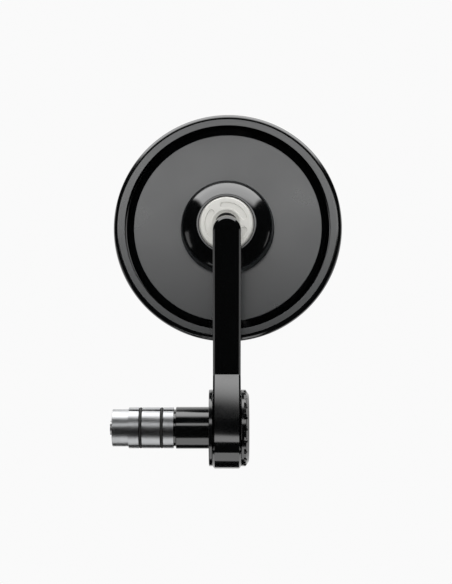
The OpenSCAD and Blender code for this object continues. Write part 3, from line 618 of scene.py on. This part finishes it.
# One pitch holds few columns on the plain rim and many where a notch's floor runs out and at its wall.
in_pitch = np.concatenate([np.linspace(-16.8, -10, 5), np.linspace(-9.4, -0.3, 14),
                           [-0.03, 0.02, 0.55, 1.03, 1.12]])
pitches = NOTCH_PHASE + 360 / NOTCHES * np.arange(NOTCHES)
t = np.radians((in_pitch[None, :] + pitches[:, None]).ravel())[None, :]
rim_x = np.array([13.85, 14.3, 14.72, 14.76, 14.88, 15.0, 15.2, 15.4, 15.56, 15.64, 15.9, 16.2, 16.5,
                  16.75, 16.92])
rim_r = cap_rim(rim_x[:, None], t)
inner = np.array([[16.1, CAP_X0], [PILOT_R, CAP_X0], [PILOT_R, 10.15], [6.1, 10.15], [6.1, 8.95],
                  [PILOT_R, 8.95], [PILOT_R, 8.05], [PILOT_R - 0.1, 7.95], [3.2, 7.95], [3.2, 9.95],
                  [5.2, 9.95], [5.2, CAP_X1 - 0.15], [5.35, CAP_X1], [14.15, CAP_X1]])
cap_r = np.concatenate([rim_r, np.repeat(inner[::-1, :1], t.size, 1)])
cap_x = np.concatenate([np.repeat(rim_x[:, None], t.size, 1), np.repeat(inner[::-1, 1:], t.size, 1)])
cap_points = np.stack([cap_r * np.cos(t), cap_r * np.sin(t), cap_x], -1) / 1000 @ bar_axes.T + BAR_END
cap = grid_mesh("end_cap_notched", cap_points, wrap_u=True, wrap_v=True)
even_shading(cap, 24)
put(cap, "bar_end", "end_cap", "black_gloss", black_gloss)

# O-rings. Black nitrile rubber, moulded, with a dull bloom. One seals the cap's pilot, and two hold
# the expander's jaws together. Each row gives the ring's own radius, its cord's and its place.
rubber, tree, skin, place = new_look("nitrile_rubber")
dust = add(tree, "TexNoise", {"Scale": 1200.0, "Detail": 4.0}, {"Vector": place})
shade = add(tree, "Mix", {"data_type": "RGBA", 6: linear("#161616"), 7: linear("#2a2a2a")},
            {0: dust.outputs["Fac"]})
bump = add(tree, "Bump", {"Strength": 0.15, "Distance": 0.00003}, {"Height": dust.outputs["Fac"]})
skin.inputs["Roughness"].default_value = 0.6
skin.inputs["IOR"].default_value = 1.52
tree.links.new(shade.outputs[2], skin.inputs["Base Color"])
tree.links.new(bump.outputs[0], skin.inputs["Normal"])
for node, name, ring_r, cord_r, at in (("cap_oring", "cap_seal", 6.56, 0.44, 9.55),
                                       ("jaw_oring_outer", "jaw_band_outer", 8.0, 0.7, -20.0),
                                       ("jaw_oring_inner", "jaw_band_inner", 8.0, 0.7, -29.0)):
    band = turned(name, arc(ring_r, at, cord_r, 0, 345, 24), bar_axes, BAR_END, steps=160)
    even_shading(band, 60)
    put(band, "bar_end", node, "o_ring", rubber)

# Expander. Three aluminium jaws sawn from one turned tube are forced out by the body's cone and by a
# threaded cone that the centre bolt draws in, and so hold the mirror by friction. Plain turned
# aluminium keeps its feed lines, about 0.1 mm apart and drawn 0.3 mm apart.
alloy, tree, skin, place = new_look("turned_aluminium")
parts = add(tree, "SeparateXYZ", links={0: place})
feed = add(tree, "TexNoise", {"noise_dimensions": "1D", "Scale": 3500.0, "Detail": 2.0},
           {"W": parts.outputs["X"]})
cloud = add(tree, "TexNoise", {"Scale": 200.0, "Detail": 3.0}, {"Vector": place})
shade = add(tree, "Mix", {"data_type": "RGBA", 6: linear("#b4b6b8"), 7: linear("#c8c9ca")},
            {0: cloud.outputs["Fac"]})
gloss = add(tree, "MapRange", {"To Min": 0.25, "To Max": 0.42}, {"Value": feed.outputs["Fac"]})
bump = add(tree, "Bump", {"Strength": 0.2, "Distance": 0.00004}, {"Height": feed.outputs["Fac"]})
skin.inputs["Metallic"].default_value = 1.0
tree.links.new(shade.outputs[2], skin.inputs["Base Color"])
tree.links.new(gloss.outputs[0], skin.inputs["Roughness"])
tree.links.new(bump.outputs[0], skin.inputs["Normal"])
for number in (1, 2, 3):
    jaw = smooth_copy(f"expander_jaw_{number}", f"jaw_{number}", 30)
    put(jaw, "bar_end", f"expander_jaw_{number}", "jaw_alloy", alloy)
cone_line = [[3.05, -41], [7.9, -41], [7.9, -34], [4.5, -30], [3.05, -30]]
cone = turned("expander_cone_turned", rounded(cone_line, 0.2), bar_axes, BAR_END)
even_shading(cone, 35)
put(cone, "bar_end", "expander_cone", "jaw_alloy", alloy)

# Centre bolt and washer. A stainless socket head bolt goes through cap and body into the expander
# cone, and presses the cap on by a zinc-plated washer under its head.
bolt = smooth_copy("centre_bolt", "centre_bolt_smooth", 30)
stainless, tree, skin, place = new_look("turned_stainless_steel")
cloud = add(tree, "TexNoise", {"Scale": 800.0, "Detail": 3.0}, {"Vector": place})
shade = add(tree, "Mix", {"data_type": "RGBA", 6: linear("#a7a8a8"), 7: linear("#bdbdbc")},
            {0: cloud.outputs["Fac"]})
bump = add(tree, "Bump", {"Strength": 0.1, "Distance": 0.00003}, {"Height": cloud.outputs["Fac"]})
skin.inputs["Metallic"].default_value = 1.0
skin.inputs["Roughness"].default_value = 0.32
tree.links.new(shade.outputs[2], skin.inputs["Base Color"])
tree.links.new(bump.outputs[0], skin.inputs["Normal"])
put(bolt, "bar_end", "centre_bolt", "bolt_steel", stainless)
washer_line = [[3.1, 9.95], [5.1, 9.95], [5.1, 10.95], [3.1, 10.95]]
washer = turned("washer_turned", rounded(washer_line, 0.12), bar_axes, BAR_END)
even_shading(washer, 35)
put(washer, "bar_end", "bolt_washer", "steel", zinc)
